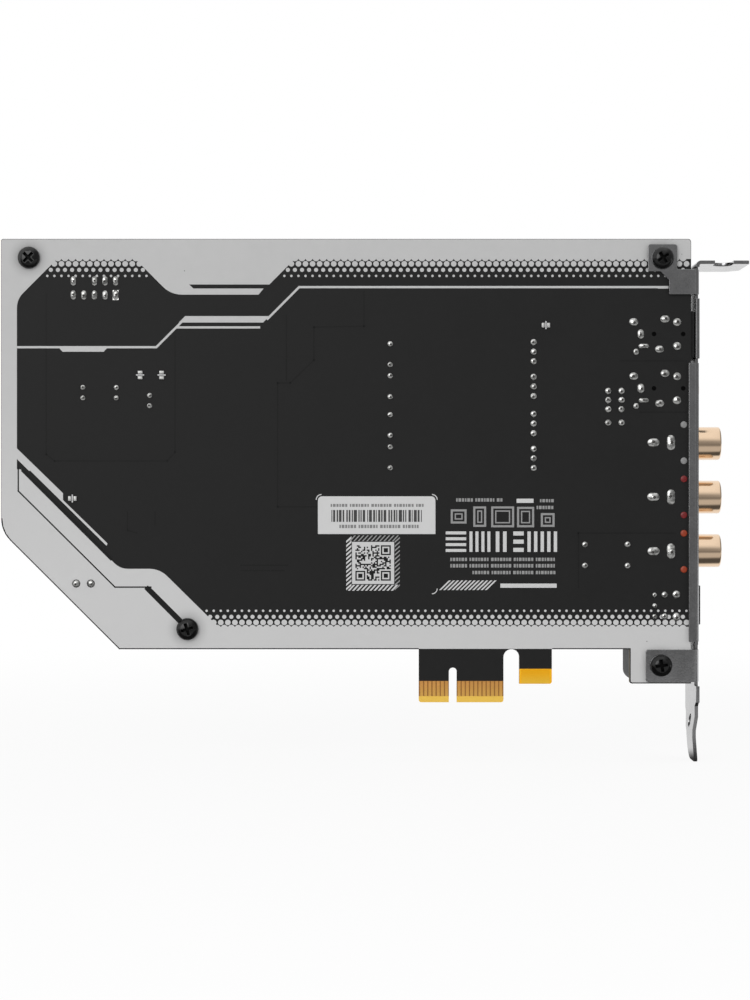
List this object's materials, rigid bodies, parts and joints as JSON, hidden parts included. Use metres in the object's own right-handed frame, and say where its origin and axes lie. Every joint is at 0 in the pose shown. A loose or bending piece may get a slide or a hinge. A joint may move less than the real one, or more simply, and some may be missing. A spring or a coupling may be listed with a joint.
{
  "type": "sound card",
  "caption": "Expansion-slot sound card: black board with gold edge connector, folded steel bracket with a row of audio ports, and a tray cover over the component side.",
  "frame": {"origin": "middle of the key notch on the seating edge of the edge connector, in the board's middle plane", "axes": "+X along the board towards the bracket, +Y out of the component side, +Z away from the slot"},
  "size_m": [0.1794, 0.0203, 0.1255],
  "materials": {
    "board": "matt black mask",
    "gold": "gold plate",
    "grey_ink": "printed ink",
    "paper": "printed sticker",
    "solder": "bright tin",
    "chip": "moulded",
    "bracket": "dark plated steel",
    "black_screw": "black zinc",
    "cover": "dark grey, fine grain",
    "grey_moulding": "moulded",
    "red_moulding": "moulded",
    "orange_moulding": "moulded",
    "black_moulding": "moulded",
    "emitter": "tinted lens",
    "film_box": "moulded",
    "can": "sleeved can",
    "relay_box": "moulded",
    "metal_lid": "pressed lid"
  },
  "bodies": {
    "card": {"circuit_board": "board", "edge_contacts": "gold", "printed_border": "grey_ink", "serial_sticker": "paper", "solder_joints": "solder", "chip_parts": "chip", "slot_bracket": "bracket", "bracket_screws": "black_screw", "cover_screws": "black_screw", "front_cover": "cover", "phono_left_housing": "grey_moulding", "phono_left_sleeve": "gold", "phono_left_contact": "gold", "phono_right_housing": "red_moulding", "phono_right_sleeve": "gold", "phono_right_contact": "gold", "phono_digital_housing": "orange_moulding", "phono_digital_sleeve": "gold", "phono_digital_contact": "gold", "headphone_jack_body": "black_moulding", "headphone_jack_nose": "gold", "microphone_jack_body": "black_moulding", "microphone_jack_nose": "gold", "optical_housing": "black_moulding", "optical_emitter": "emitter", "film_capacitors": "film_box", "small_capacitors": "can", "large_capacitor": "can", "output_transistors": "chip", "signal_relay": "relay_box", "output_transformer": "chip", "header_base": "black_moulding", "header_pins": "gold", "audio_processor": "chip", "converter_chip": "chip", "amplifier_chips": "chip", "crystals": "metal_lid", "regulators": "chip"},
    "shutter": {"optical_shutter": "black_moulding"}
  },
  "joints": [
    {"name": "shutter_hinge", "type": "hinge", "parent": "card", "child": "shutter", "pos_m": [0.05645, 0.0073, 0.0257], "axis": [0, 1, 0], "range_deg": [0, 80], "stiffness_Nm_per_rad": 0.00002}
  ]
}
